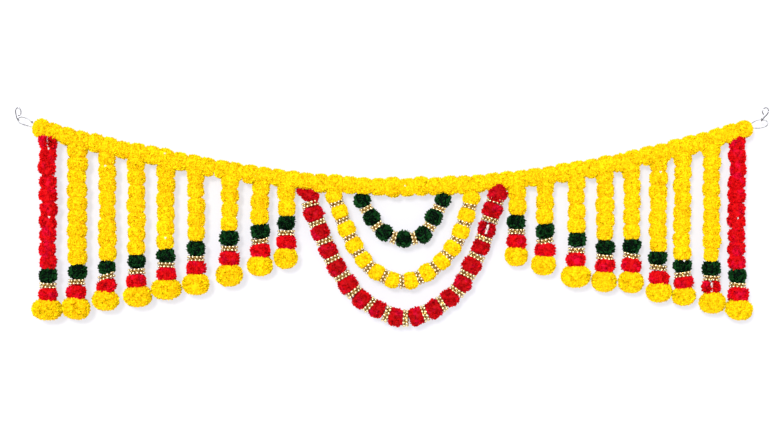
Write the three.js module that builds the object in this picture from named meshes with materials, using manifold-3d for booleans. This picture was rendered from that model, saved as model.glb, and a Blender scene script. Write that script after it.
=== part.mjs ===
// A door garland: a rope of cloth marigolds that sags between two S-hooks, with eighteen
// flower strands and three beaded swags hanging from it.
//
// Millimetres. +X runs from the left hook to the right hook, +Z is up, and the front faces -Y.
// The origin is the crown inside the left hook's upper bend, where a nail carries the garland.

import * as THREE from 'three';
import { mergeVertices } from 'three/addons/utils/BufferGeometryUtils.js';
import Module from 'manifold-3d';

const wasm = await Module();
wasm.setup();

// ---------------------------------------------------------------- driving dimensions

const HOOK_SPAN = 1496; // between the nails' places in the two hooks
const CLEARANCE = 0.35; // left between two pieces that touch
const SIDES = 8; // sides of a string's round section

// Route of the rope's middle line from its left end face to its right one, as [x, z].
const ROPE_ROUTE = [
  [30, -36], [172, -75], [364, -114], [556, -144], [748, -157],
  [940, -149], [1132, -122], [1324, -80], [1466, -37],
];
const ROPE_FLOWERS = 51;
const ROPE_RUNS = [
  { name: 'rope_flowers_left', from: 0, to: 17 },
  { name: 'rope_flowers_middle', from: 17, to: 34 },
  { name: 'rope_flowers_right', from: 34, to: 51 },
];
const ROPE_RADIUS = 18;
const CORD_RADIUS = 1.5;
const BORE_RADIUS = 2.1; // the way through the rope's flowers for the cord
const CORD_STEPS = 40;

// Every strand, from the left. x: place along the garland. tassel and foot: how far the tassel's
// top and its lowest point lie below the hooks. head: width of the large flower at the foot.
// lean: how far that flower lies to the right of the strand's own line.
const STRANDS = [
  { name: 'strand_left_1', x: 60, tassel: 321, foot: 424, head: 57, lean: -2, red: true },
  { name: 'strand_left_2', x: 118, tassel: 312, foot: 423, head: 57.5, lean: -3 },
  { name: 'strand_left_3', x: 178, tassel: 304, foot: 405, head: 56, lean: -3 },
  { name: 'strand_left_4', x: 236, tassel: 292, foot: 399, head: 55, lean: 4 },
  { name: 'strand_left_5', x: 295, tassel: 281, foot: 384, head: 56, lean: 3 },
  { name: 'strand_left_6', x: 356, tassel: 266, foot: 373, head: 54, lean: -1 },
  { name: 'strand_left_7', x: 423, tassel: 245, foot: 356, head: 53, lean: -2 },
  { name: 'strand_left_8', x: 484, tassel: 232, foot: 336, head: 52, lean: -1 },
  { name: 'strand_left_9', x: 537, tassel: 215, foot: 322, head: 49, lean: -3 },
  { name: 'strand_right_1', x: 997, tassel: 214, foot: 317, head: 47, lean: -1 },
  { name: 'strand_right_2', x: 1055, tassel: 232, foot: 335, head: 49, lean: -5 },
  { name: 'strand_right_3', x: 1117, tassel: 249, foot: 359, head: 57, lean: -1 },
  { name: 'strand_right_4', x: 1174, tassel: 264, foot: 367, head: 50, lean: -2 },
  { name: 'strand_right_5', x: 1227, tassel: 261, foot: 368, head: 49, lean: -1 },
  { name: 'strand_right_6', x: 1280, tassel: 286, foot: 388, head: 51.5, lean: 2 },
  { name: 'strand_right_7', x: 1328, tassel: 302, foot: 396, head: 46, lean: 3 },
  { name: 'strand_right_8', x: 1387, tassel: 306, foot: 411, head: 54, lean: 0 },
  { name: 'strand_right_9', x: 1437, tassel: 321, foot: 424, head: 52.5, lean: 6, red: true },
];
const STRAND_RADIUS = 18;
const STRAND_ROOT = 9; // a strand's first flower begins this far below the rope's middle line
const YELLOW_PITCH = 27.5; // room that one strand flower takes on its thread
const RED_PITCH = 25.5;

// A tassel from its top down, as shares of its length. The last flower is the strand's head.
const TASSEL = { green: 0.25, ring: 0.11, red: 0.22, head: 0.42 };
const TASSEL_FLOWER_RADIUS = 19;
const TASSEL_RING_RADIUS = 18;

// The swags: a route of the thread as [x, z] points, and the flowers and bead rings on it.
const SWAGS = [
  {
    name: 'outer_swag', colour: 'red', flowers: 18, flowerRadius: 18.3, ringRadius: 18, ringShare: 0.32,
    route: [
      [573, -160], [605, -247], [637, -317], [687, -382], [776, -420],
      [865, -378], [908, -314], [936, -247], [961, -158],
    ],
  },
  {
    name: 'middle_swag', colour: 'yellow', flowers: 14, flowerRadius: 16, ringRadius: 15.3, ringShare: 0.32,
    route: [
      [622, -168], [655, -242], [692, -306], [730, -335], [773, -346],
      [822, -327], [871, -277], [898, -212], [910, -166],
    ],
  },
  {
    name: 'inner_swag', colour: 'green', flowers: 7, flowerRadius: 17, ringRadius: 14, ringShare: 0.28,
    route: [
      [681, -170], [705, -217], [731, -248], [768, -262],
      [806, -254], [833, -219], [854, -168],
    ],
  },
];

// S-hooks of round wire, as [x, y, z] from the nail's place in each: the upper bend lies flat to
// the wall, and a quarter twist in the shank turns the lower bend across the end loop it holds.
const HOOK_WIRE_RADIUS = 1;
const LEFT_HOOK = [
  [0.6, 0, -15], [4.4, 0, -12.6], [5.6, 0, -8], [4.2, 0, -2.4], [0, 0, 1], [-4.2, 0, -1.8],
  [-5.4, 0, -6.4], [-4.6, -0.6, -11], [-3.4, -2.2, -16], [-2, -3.1, -20.6],
  [0.7, -2.6, -23.4], [1.7, 0, -24], [0.7, 2.6, -23.4], [-1.8, 3.1, -21],
];
const RIGHT_HOOK = [
  [-5.6, 0, -12.2], [-7.6, 0, -7], [-5.6, 0, -1.8], [-0.5, 0, 1], [3.6, 0, -1.4],
  [4.8, 0, -5.4], [2, -0.4, -12], [-3.4, -2, -17.6], [-7, -3, -21.4],
  [-8.6, -2.6, -24], [-9, 0, -25.5], [-9, 2.6, -24], [-9, 3.2, -21],
];

// Clear end loops, as [x, z] from the nail's place at the same end: both legs of a loop end
// inside the outermost rope flower, beside the main cord.
const LOOP_WIRE_RADIUS = 0.8;
const LEFT_LOOP = [
  [40, -35.7], [34, -33], [28, -28.5], [20, -22], [12, -18.8], [5, -18], [0.6, -20.4],
  [-0.6, -24], [1.2, -28], [7, -31.5], [16, -34.4], [27, -37.8], [33, -40.2], [40, -42.1],
];
const RIGHT_LOOP = [
  [-40, -36.7], [-34, -33.6], [-28, -29.5], [-20, -25], [-12, -23.3], [-5, -23.7],
  [1, -26], [3.5, -31], [0, -36], [-7, -38.8], [-15, -40], [-22, -39.9],
  [-29, -40.8], [-35, -42.1], [-41, -43.6],
];
const HOOK_STEPS = 36;
const LOOP_STEPS = 30;
const WIRE_SIDES = 6; // even, like the cord's

const FINISHES = {
  yellow: { color: 0xffd800, roughness: 0.85, metalness: 0 },
  red: { color: 0xe0000f, roughness: 0.7, metalness: 0 },
  green: { color: 0x0b3a1c, roughness: 0.7, metalness: 0 },
  cord: { color: 0xeee6d0, roughness: 0.8, metalness: 0 },
  loop: { color: 0xe4e8ea, roughness: 0.2, metalness: 0 },
  steel: { color: 0xc9ccd0, roughness: 0.25, metalness: 1 },
};

// ---------------------------------------------------------------- solids and joins

/** A closed three.js geometry as a solid that can be joined and cut. */
function toSolid(geometry) {
  const bare = geometry.clone();
  bare.deleteAttribute('normal');
  bare.deleteAttribute('uv');
  const merged = mergeVertices(bare, 1e-4);
  const corners = merged.index.array;
  const triangles = [];
  for (let i = 0; i < corners.length; i += 3) {
    const [a, b, c] = [corners[i], corners[i + 1], corners[i + 2]];
    if (a !== b && b !== c && c !== a) triangles.push(a, b, c);
  }
  return new wasm.Manifold(new wasm.Mesh({
    numProp: 3,
    vertProperties: merged.attributes.position.array,
    triVerts: Uint32Array.from(triangles),
  }));
}

/** A solid as a three.js geometry. */
function toGeometry(solid) {
  const mesh = solid.getMesh();
  const geometry = new THREE.BufferGeometry();
  geometry.setAttribute('position', new THREE.BufferAttribute(mesh.vertProperties, 3));
  geometry.setIndex(new THREE.BufferAttribute(mesh.triVerts, 1));
  geometry.computeVertexNormals();
  return geometry;
}

/** The largest piece of a solid, without the crumbs that a cut can leave. */
function largestPiece(solid) {
  return solid.decompose().reduce((best, piece) => (piece.volume() > best.volume() ? piece : best));
}

// ---------------------------------------------------------------- strings of flowers

/** A smooth curve through [x, z] points of the garland's plane. */
function flatCurve(points) {
  const places = points.map(([x, z]) => new THREE.Vector3(x, 0, z));
  const curve = new THREE.CatmullRomCurve3(places, false, 'catmullrom', 0.5);
  curve.arcLengthDivisions = 800;
  return curve;
}

/** The straight line between two [x, z] points. */
function flatLine([x1, z1], [x2, z2]) {
  return new THREE.LineCurve3(new THREE.Vector3(x1, 0, z1), new THREE.Vector3(x2, 0, z2));
}

/** Bends a turned string, whose axis is +Y, along a curve of the garland's plane. */
function bendAlong(geometry, curve, start = 0) {
  const position = geometry.attributes.position;
  const length = curve.getLength();
  for (let i = 0; i < position.count; i += 1) {
    const share = THREE.MathUtils.clamp((start + position.getY(i)) / length, 0, 1);
    const place = curve.getPointAt(share);
    const along = curve.getTangentAt(share);
    const outward = new THREE.Vector3(-along.z, 0, along.x);
    place.addScaledVector(outward, position.getX(i));
    place.y += position.getZ(i);
    position.setXYZ(i, place.x, place.y, place.z);
  }
  return geometry;
}

// Outline of one piece on a string, as [share of its length, share of its radius]. A flower is
// widest half-way along and narrows to where it meets its neighbours.
const ROUND_FLOWER = [[0, 0.8], [0.5, 1], [1, 0.8]];
const BEAD_RING = [[0, 1], [1, 1]];
const LARGE_HEAD = [[0, 0.5], [0.25, 0.92], [0.58, 1], [0.88, 0.66], [1, 0.3]];

/** Outline points of the pieces on a string, from y = 0 up: { length, radius, shape } each. */
function stringOutline(pieces) {
  const outline = [];
  let at = 0;
  for (const { length, radius, shape } of pieces) {
    for (const [along, across] of shape) {
      outline.push(new THREE.Vector2(radius * across, at + length * along));
    }
    at += length;
  }
  return outline.filter((point, i) => i === 0 || point.distanceTo(outline[i - 1]) > 1e-6);
}

/** A string turned round its thread, closed on the thread at both ends. */
function turnedString(pieces) {
  const outline = stringOutline(pieces);
  const last = outline[outline.length - 1].y;
  return new THREE.LatheGeometry([new THREE.Vector2(0, 0), ...outline, new THREE.Vector2(0, last)], SIDES);
}

/** A string with a way for a cord through its middle. */
function boredString(pieces, bore) {
  const outline = stringOutline(pieces);
  const last = outline[outline.length - 1].y;
  const rows = Math.ceil(pieces.length / 2);
  const inside = [];
  for (let i = 0; i <= rows; i += 1) {
    inside.push(new THREE.Vector2(bore, last * (1 - i / rows)));
  }
  return new THREE.LatheGeometry([...outline, ...inside, outline[0].clone()], SIDES);
}

/** A number of like pieces, one after the other. */
function repeated(count, piece) {
  return Array.from({ length: count }, () => piece);
}

/** A round bar along a curve. A full arc takes two segments for each one asked for. */
function roundBar(radius, steps, curve) {
  const section = new THREE.Shape();
  section.absarc(0, 0, radius, 0, Math.PI * 2);
  return new THREE.ExtrudeGeometry(section, {
    steps,
    curveSegments: WIRE_SIDES / 2,
    extrudePath: curve,
  });
}

/** A round wire through [x, y, z] points, lengthened by extra at each end. */
function wire(points, radius, steps, extra = 0) {
  const places = points.map(([x, y, z]) => new THREE.Vector3(x, y, z));
  const [first, second] = places;
  const [beforeLast, last] = places.slice(-2);
  const headway = first.clone().sub(second).setLength(extra);
  const tailway = last.clone().sub(beforeLast).setLength(extra);
  first.add(headway);
  last.add(tailway);
  return roundBar(radius, steps, new THREE.CatmullRomCurve3(places));
}

/** A hook on the nail at x. */
function hook(points, x) {
  return wire(points, HOOK_WIRE_RADIUS, HOOK_STEPS).translate(x, 0, 0);
}

/** An end loop beside the nail at x, grown by a clearance all round for the way it passes through. */
function endLoop(points, x, clearance = 0) {
  const places = points.map(([px, pz]) => [px, 0, pz]);
  return wire(places, LOOP_WIRE_RADIUS + clearance, LOOP_STEPS, clearance).translate(x, 0, 0);
}

// ---------------------------------------------------------------- the garland

const garland = new THREE.Group();
const ropeCurve = flatCurve(ROPE_ROUTE);
const ropePitch = ropeCurve.getLength() / ROPE_FLOWERS;

/** Adds a named mesh with its own material to the garland. */
function addPiece(name, geometry, finish) {
  const mesh = new THREE.Mesh(geometry, new THREE.MeshStandardMaterial(FINISHES[finish]));
  mesh.name = name;
  garland.add(mesh);
}

/** Height of the rope's middle line at a place along the garland. */
function ropeHeight(x) {
  let low = 0;
  let high = 1;
  while (high - low > 1e-6) {
    const middle = (low + high) / 2;
    if (ropeCurve.getPointAt(middle).x < x) low = middle;
    else high = middle;
  }
  return ropeCurve.getPointAt(low).z;
}

/** The rope without its bore, grown by the clearance, that the hanging pieces are cut to fit. */
function ropeEnvelope() {
  const flower = { length: ropePitch, radius: ROPE_RADIUS + CLEARANCE, shape: ROUND_FLOWER };
  return toSolid(bendAlong(turnedString(repeated(ROPE_FLOWERS, flower)), ropeCurve));
}

/** The rope's flowers in three runs on the main cord, with room for the legs of the end loops. */
function addRope() {
  const legs = [endLoop(LEFT_LOOP, 0, CLEARANCE), endLoop(RIGHT_LOOP, HOOK_SPAN, CLEARANCE)].map(toSolid);
  for (const { name, from, to } of ROPE_RUNS) {
    const flower = { length: ropePitch, radius: ROPE_RADIUS, shape: ROUND_FLOWER };
    const pieces = repeated(to - from, flower);
    pieces[0] = { ...flower, length: ropePitch - CLEARANCE };
    let run = toSolid(bendAlong(boredString(pieces, BORE_RADIUS), ropeCurve, from * ropePitch + CLEARANCE));
    for (const leg of legs) run = run.subtract(leg);
    addPiece(name, toGeometry(largestPiece(run)), 'yellow');
  }
}

/** One hanging strand: its row of flowers, cut to the rope's underside, and its tassel. */
function addStrand({ name, x, tassel, foot, head, lean, red }, rope) {
  const top = ropeHeight(x) - STRAND_ROOT;
  const bottom = -tassel;
  const count = Math.round((top - bottom) / (red ? RED_PITCH : YELLOW_PITCH));
  const flower = { length: (top - bottom) / count, radius: STRAND_RADIUS, shape: ROUND_FLOWER };
  const row = bendAlong(turnedString(repeated(count, flower)), flatLine([x, top], [x, bottom]));
  addPiece(`${name}_flowers`, toGeometry(largestPiece(toSolid(row).subtract(rope))), red ? 'red' : 'yellow');

  const length = foot - tassel;
  const gap = CLEARANCE + (Math.abs(lean) / length) * TASSEL_FLOWER_RADIUS;
  const hung = length - gap;
  const pieces = [
    { length: hung * TASSEL.green, radius: TASSEL_FLOWER_RADIUS, shape: ROUND_FLOWER },
    { length: hung * TASSEL.ring, radius: TASSEL_RING_RADIUS, shape: BEAD_RING },
    { length: hung * TASSEL.red, radius: TASSEL_FLOWER_RADIUS, shape: ROUND_FLOWER },
    { length: hung * TASSEL.head, radius: head / 2, shape: LARGE_HEAD },
  ];
  const line = flatLine([x, bottom - gap], [x + lean, -foot]);
  addPiece(`${name}_tassel`, bendAlong(turnedString(pieces), line), 'green');
}

/** One swag: flowers with a bead ring between each two, cut to the rope's underside. */
function addSwag({ name, colour, flowers, flowerRadius, ringRadius, ringShare, route }, rope) {
  const curve = flatCurve(route);
  const pitch = curve.getLength() / (flowers - ringShare);
  const flower = { length: pitch * (1 - ringShare), radius: flowerRadius, shape: ROUND_FLOWER };
  const ring = { length: pitch * ringShare, radius: ringRadius, shape: BEAD_RING };
  const pieces = repeated(flowers - 1, [flower, ring]).flat().concat(flower);
  const solid = toSolid(bendAlong(turnedString(pieces), curve));
  addPiece(name, toGeometry(largestPiece(solid.subtract(rope))), colour);
}

const rope = ropeEnvelope();
addPiece('main_cord', roundBar(CORD_RADIUS, CORD_STEPS, ropeCurve), 'cord');
addRope();
addPiece('left_end_loop', endLoop(LEFT_LOOP, 0), 'loop');
addPiece('right_end_loop', endLoop(RIGHT_LOOP, HOOK_SPAN), 'loop');
addPiece('left_s_hook', hook(LEFT_HOOK, 0), 'steel');
addPiece('right_s_hook', hook(RIGHT_HOOK, HOOK_SPAN), 'steel');
for (const strand of STRANDS) addStrand(strand, rope);
for (const swag of SWAGS) addSwag(swag, rope);

export default garland;
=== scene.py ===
"""A door garland of cloth marigolds on two wire S-hooks, in front of a pale wall.

The sizes and colours are properties, each kind of piece has an operator, and main() runs them in
order. Metres, +Z up. The front faces -Y, +X runs from the left hook to the right one, and the
origin is the left hook's seat.
"""

from types import SimpleNamespace

import bmesh
import bpy
import numpy as np
from bpy.props import FloatProperty, FloatVectorProperty, IntProperty, PointerProperty
from bpy.types import Operator, Panel, PropertyGroup
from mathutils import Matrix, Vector


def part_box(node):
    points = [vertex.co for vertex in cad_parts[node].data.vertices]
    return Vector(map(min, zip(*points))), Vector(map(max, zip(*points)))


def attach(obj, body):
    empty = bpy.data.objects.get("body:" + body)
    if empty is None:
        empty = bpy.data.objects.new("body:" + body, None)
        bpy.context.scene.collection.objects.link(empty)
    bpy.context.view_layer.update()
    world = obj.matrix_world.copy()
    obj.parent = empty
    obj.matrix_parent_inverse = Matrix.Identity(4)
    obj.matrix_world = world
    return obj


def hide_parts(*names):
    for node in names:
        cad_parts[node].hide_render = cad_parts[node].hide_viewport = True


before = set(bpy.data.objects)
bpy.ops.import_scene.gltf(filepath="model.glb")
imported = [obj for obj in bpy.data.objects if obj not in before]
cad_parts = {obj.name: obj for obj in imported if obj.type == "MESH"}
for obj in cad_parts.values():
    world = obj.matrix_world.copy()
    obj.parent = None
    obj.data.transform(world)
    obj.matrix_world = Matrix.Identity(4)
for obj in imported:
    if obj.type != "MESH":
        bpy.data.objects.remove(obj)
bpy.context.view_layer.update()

bl_info = {
    "name": "Marigold Door Garland",
    "version": (1, 0, 0),
    "blender": (4, 5, 0),
    "location": "3D Viewport > Sidebar > Garland",
    "description": "Dresses the garland's frame in cloth petals, gilt beads, thread and wire",
    "category": "Object",
}

BODY = "root"

# The photograph's frame, measured in the garland's own plane.
PHOTO_PIXELS = (782, 439)
PIXEL_SIZE = 0.002
SEAT_PIXEL = (18.2, 108.2)  # where the left hook's seat is in the photograph

HOOK_SPAN = 1.496  # from the left hook's seat to the right one's

# Route of the rope's middle line, as (x, z).
ROPE_ROUTE = (
    (0.030, -0.036), (0.172, -0.075), (0.364, -0.114), (0.556, -0.144), (0.748, -0.157),
    (0.940, -0.149), (1.132, -0.122), (1.324, -0.080), (1.466, -0.037),
)
ROPE_RUNS = ("rope_flowers_left", "rope_flowers_middle", "rope_flowers_right")
RUN_FLOWERS = 17
ROPE_RADIUS = 0.0190

STRANDS = [f"strand_{side}_{n}" for side in ("left", "right") for n in range(1, 10)]
RED_STRANDS = ("strand_left_1", "strand_right_9")
STRAND_RADIUS = 0.018
WIDE_STRANDS = {"strand_left_2": 1.12}  # radius of the flowers beside the others'
STRAND_ROOT = 0.009  # a strand's first flower begins this far below the rope's middle line
YELLOW_PITCH = 0.0275
RED_PITCH = 0.0255
TIED_BELOW = 0.003  # a strand's thread begins this far below the rope's middle line
INTO_HEAD = 0.8  # share of the tassel's length that the thread goes down

# A tassel from its top down, as shares of its length.
TASSEL_SHARES = {"green": 0.265, "ring": 0.105, "red": 0.225, "head": 0.405}
TASSEL_RADIUS = 0.019
RING_RADIUS = 0.018
RED_SWELL = 1.07  # the red flower's radius beside the green one's
RED_DROOP = 0.005  # how far the red flower hangs over the head
RED_LEAN = 0.003  # how far the red flower leans to the front
HEAD_SWELL = 1.04  # how far the loose petals widen a head
HEAD_ROUNDNESS = 2.2
HEAD_WIDEST = 0.58  # share of a head's length, from its top, where it is widest

# Degrees that a tassel's bead ring is tipped, its right side up.
RING_TILTS = {
    "strand_left_3": 24, "strand_left_8": 7, "strand_right_2": 12, "strand_right_5": -10,
    "strand_right_6": -12, "strand_right_9": -8,
}

SWAGS = {
    "outer_swag": SimpleNamespace(
        cloth="deep_red", flowers=18, radius=0.0190, ring_radius=0.018, ring_share=0.29, end=0.72,
        route=(
            (0.573, -0.160), (0.605, -0.247), (0.637, -0.317), (0.687, -0.382), (0.776, -0.420),
            (0.865, -0.378), (0.908, -0.314), (0.936, -0.247), (0.963, -0.152),
        ),
    ),
    "middle_swag": SimpleNamespace(
        cloth="yellow", flowers=14, radius=0.0172, ring_radius=0.0155, ring_share=0.28, end=0.72,
        route=(
            (0.627, -0.161), (0.656, -0.240), (0.692, -0.306), (0.730, -0.335), (0.773, -0.346),
            (0.822, -0.327), (0.871, -0.277), (0.898, -0.212), (0.910, -0.166),
        ),
    ),
    "inner_swag": SimpleNamespace(
        cloth="green", flowers=7, radius=0.017, ring_radius=0.014, ring_share=0.28, end=0.54,
        route=(
            (0.681, -0.170), (0.705, -0.217), (0.731, -0.248), (0.768, -0.262),
            (0.806, -0.254), (0.833, -0.219), (0.854, -0.168),
        ),
    ),
}

# The outer swag's first and last flower, tucked against the rope and pointed: place, heading,
# radius and length.
OUTER_SWAG_ENDS = {
    0: ((0.5785, -0.004, -0.1740), (0.92, 0.0, -0.39), 0.0130, 0.050),
    17: ((0.9590, -0.010, -0.1700), (0.25, -0.45, 0.86), 0.0190, 0.040),
}
TUCKED_ROUNDNESS = 1.3

# Wire hooks, as (x, y, z) from the nail's place in each.
HOOK_WIRE = 0.001
HOOKS = {
    "left_s_hook": (
        (0.0006, 0, -0.0150), (0.0044, 0, -0.0126), (0.0056, 0, -0.0080), (0.0042, 0, -0.0024),
        (0, 0, 0.0010), (-0.0042, 0, -0.0018), (-0.0054, 0, -0.0064), (-0.0046, -0.0006, -0.0110),
        (-0.0034, -0.0022, -0.0160), (-0.0020, -0.0031, -0.0206), (0.0007, -0.0026, -0.0234),
        (0.0017, 0, -0.0240), (0.0007, 0.0026, -0.0234), (-0.0018, 0.0031, -0.0210),
    ),
    "right_s_hook": (
        (-0.0056, 0, -0.0122), (-0.0076, 0, -0.0070), (-0.0056, 0, -0.0018), (-0.0005, 0, 0.0010),
        (0.0036, 0, -0.0014), (0.0048, 0, -0.0054), (0.0020, -0.0004, -0.0120),
        (-0.0034, -0.0020, -0.0176), (-0.0070, -0.0030, -0.0214), (-0.0086, -0.0026, -0.0240),
        (-0.0090, 0, -0.0255), (-0.0090, 0.0026, -0.0240), (-0.0090, 0.0032, -0.0210),
    ),
}

# Clear end loops, as (x, y, z) from the nail's place at the same end.
LOOP_LINE = 0.0008
LOOPS = {
    "left_end_loop": (
        (0.040, 0, -0.0357), (0.034, 0, -0.0330), (0.028, 0, -0.0285), (0.020, 0, -0.0220),
        (0.012, 0, -0.0188), (0.005, 0, -0.0180), (0.0006, 0, -0.0204), (-0.0006, 0, -0.0240),
        (0.0012, 0, -0.0280), (0.007, 0, -0.0315), (0.016, 0, -0.0344), (0.027, 0, -0.0378),
        (0.033, 0, -0.0402), (0.040, 0, -0.0421),
    ),
    "right_end_loop": (
        (-0.040, 0, -0.0367), (-0.034, 0, -0.0336), (-0.028, 0, -0.0295), (-0.020, 0, -0.0250),
        (-0.012, 0, -0.0233), (-0.005, 0, -0.0237), (0.001, 0, -0.0260), (0.0035, 0, -0.0310),
        (0, 0, -0.0360), (-0.007, 0, -0.0388), (-0.015, 0, -0.0400), (-0.022, 0, -0.0399),
        (-0.029, 0, -0.0408), (-0.035, 0, -0.0421), (-0.041, 0, -0.0436),
    ),
}

# White thread knots that show between the petals, as (x, z).
KNOTS = np.array((
    (0.0626, -0.0810), (0.0636, -0.2176), (0.1756, -0.1156), (0.2944, -0.0908), (0.2956, -0.2592),
    (0.7736, -0.1556), (1.2836, -0.1276), (1.4376, -0.2196), (1.3306, -0.3048),
))
KNOT_FRONT = -0.0162  # y of the white knots
KNOT_SIZE = 0.0040
KNOT_CLEAR = 0.0026  # no petal's tip is nearer to a knot than this

# Brown knot that ties the left end loop, where it enters the first flower.
TIE_PLACE = (0.0288, -0.0100, -0.0282)

# Flowers whose petals part at the front and show white thread: the piece, which flower of it,
# half the gap's width, and where the gap ends, from -1 at the flower's top to 1 at its foot.
PARTED = {
    "strand_left_1_petals": (0, 0.0016, 1.0),
    "outer_swag_petals": (15, 0.0036, 1.0),
    "strand_right_8_red_flower": (0, 0.0028, -0.05),
}

# How much of its radius a flower keeps at an end. Each swag has a share of its own.
SNUG = 0.65  # pushed against the next flower
ROUND = 0.50  # beside another colour or a bead ring, and on a red strand
CLOSED = 0.0  # free

CAMERA_DISTANCE = 6.0
STAGE_REACH = 14.0  # how far the wall and the floor go to each side
WALL_GAP = 0.036  # from the garland's middle back to the wall
FLOOR_LEVEL = -1.5

# Each sun: its name, the way it shines, its strength and its width in degrees.
SUNS = (
    ("window", (0.19, 1.0, -0.23), 2.15, 9),
    ("front_fill", (0.0, 1.0, -0.1), 1.2, 60),
    ("back_fill", (-0.2, -1.0, -0.4), 0.9, 60),
)
SKY = (0.98, 0.94, 1.0)
SKY_STRENGTH = 0.85

FRONT = np.array((0.0, -1.0, 0.0))
GOLDEN_TURN = np.pi * (3 - np.sqrt(5))
SEED = 4478


# ---------------------------------------- sizes and colours


def length(name, description, default):
    return FloatProperty(
        name=name, description=description, default=default, unit="LENGTH", subtype="DISTANCE"
    )


def colour(name, description, default):
    return FloatVectorProperty(
        name=name, description=description, default=default, size=3, min=0, max=1, subtype="COLOR"
    )


class GarlandSizes(PropertyGroup):
    """Sizes of the cloth, the beads and the threads."""

    petal_width: length("Petal Width", "Width of a marigold petal's tip", 0.0060)
    leafy_width: length("Leafy Petal Width", "Width of a green petal's tip", 0.0092)
    petal_spacing: length("Petal Spacing", "Side of the patch that one petal covers", 0.0030)
    ruffle: length("Ruffle", "How far a petal's edge waves from side to side", 0.0009)
    proud: length("Stands Proud", "How far the longest petals pass the flower's outline", 0.0012)
    nestle: length("Nestle", "How far flowers pushed together reach into each other", 0.0022)
    overlap: length("Overlap", "How far a flower's petals reach over the ring beside it", 0.0013)
    bead: length("Bead Diameter", "Diameter of a gilt bead", 0.0054)
    bead_rows: length("Bead Row Spacing", "From one row of a ring's beads to the other", 0.0066)
    seed: length("Seed Diameter", "Diameter of the small beads between the two rows", 0.0028)
    thread: length("Thread Diameter", "Diameter of the white thread in strands and swags", 0.0013)
    ring_beads: IntProperty(
        name="Ring Beads", description="Beads in one row of a widest bead ring", default=12, min=6
    )


class GarlandColours(PropertyGroup):
    """Colours of the cloth, the gilding, the threads and the stage."""

    # The root colours are painted shade: petals are darker near the thread, and yellow more orange,
    # where they crowd and shade each other.
    yellow_tip: colour("Yellow Tip", "Marigold petals at their tips", (0.95, 0.72, 0.0))
    yellow_root: colour("Yellow Root", "Marigold petals near the thread", (0.97, 0.555, 0.0))
    red_tip: colour("Red Tip", "Red petals at their tips", (0.75, 0.0, 0.003))
    red_root: colour("Red Root", "Red petals near the thread", (0.56, 0.0, 0.002))
    deep_red_tip: colour("Deep Red Tip", "Outer swag's petals at their tips", (0.61, 0.0, 0.003))
    deep_red_root: colour("Deep Red Root", "Outer swag's petals near the thread", (0.41, 0, 0.002))
    # The blush is partly a painted highlight: random magenta patches that stand for the red cloth's
    # pinkish sheen.
    blush: colour("Blush", "Magenta patches on the red petals", (0.73, 0.0, 0.06))
    green_tip: colour("Green Tip", "Green petals at their tips", (0.007, 0.058, 0.012))
    green_root: colour("Green Root", "Green petals near the thread", (0.0, 0.002, 0.001))
    gilt: colour("Gilt", "The beads' plating where it is bright", (0.99, 0.86, 0.50))
    # Gilt shade is painted shade: the beads darken to it towards the ring, on the spool and on the
    # seeds.
    gilt_shade: colour("Gilt Shade", "The beads' plating where it is dull", (0.52, 0.36, 0.12))
    thread: colour("Thread", "White thread and cord", (0.86, 0.84, 0.78))
    tie: colour("Tie", "Brown thread of the tie at the left end", (0.16, 0.09, 0.02))
    # The steel's dark patches are a painted reflection: they stand for the dark surroundings that
    # the wire would mirror.
    steel: colour("Steel", "The hooks' wire where it is bright", (0.36, 0.36, 0.37))
    steel_shade: colour("Steel Shade", "The hooks' wire where it is dull", (0.03, 0.03, 0.03))
    clear: colour("Clear Line", "The end loops where they are clear", (0.58, 0.60, 0.60))
    # The clear end loops are darker in dashes along their length.
    clear_haze: colour("Clear Haze", "The end loops where they are dull", (0.10, 0.105, 0.105))
    wall: colour("Wall", "Wall behind the garland", (0.28, 0.28, 0.285))
    wall_glow: colour("Wall Glow", "Light from the wall itself", (0.590, 0.600, 0.645))
    floor: colour("Floor", "Floor below the garland", (0.80, 0.80, 0.80))


def sizes():
    return bpy.context.scene.garland_sizes


def colours():
    return bpy.context.scene.garland_colours


# ---------------------------------------- routes


def smooth_line(points, power, steps=24):
    """Points along a Catmull-Rom line. Power 0 spaces its knots evenly, 0.5 by root distance."""
    points = np.asarray(points, float)
    ends = (2 * points[:1] - points[1:2], 2 * points[-1:] - points[-2:-1])
    knots = np.concatenate((ends[0], points, ends[1]))
    line = []
    share = np.linspace(0, 1, steps, endpoint=False)[:, None]
    for before, start, end, after in zip(knots, knots[1:], knots[2:], knots[3:], strict=False):
        gaps = [np.linalg.norm(b - a) ** power for a, b in
                ((before, start), (start, end), (end, after))]
        way_out = (start - before) / gaps[0] - (end - before) / (gaps[0] + gaps[1])
        way_in = (end - start) / gaps[1] - (after - start) / (gaps[1] + gaps[2])
        out = (way_out + (end - start) / gaps[1]) * gaps[1]
        into = (way_in + (after - end) / gaps[2]) * gaps[1]
        line.append(
            start
            + out * share
            + (3 * (end - start) - 2 * out - into) * share**2
            + (2 * (start - end) + out + into) * share**3
        )
    line.append(points[-1:])
    return np.concatenate(line)


def walked(points):
    """How far along a line each of its points is."""
    steps = np.linalg.norm(np.diff(points, axis=0), axis=1)
    return np.concatenate(((0,), np.cumsum(steps)))


def unit(vectors):
    return vectors / np.linalg.norm(vectors, axis=-1, keepdims=True)


class Route:
    """A line of the garland's plane, walked by its length."""

    def __init__(self, places):
        self.places = np.insert(np.asarray(places, float), 1, 0, axis=1)
        self.reached = walked(self.places)
        self.length = self.reached[-1]

    def place(self, distance):
        return np.array([np.interp(distance, self.reached, self.places[:, k]) for k in range(3)])

    def heading(self, distance):
        reach = 0.001
        ahead = self.place(min(distance + reach, self.length))
        behind = self.place(max(distance - reach, 0))
        return unit(ahead - behind)


def rope_route():
    return Route(smooth_line(ROPE_ROUTE, 0))


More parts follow.
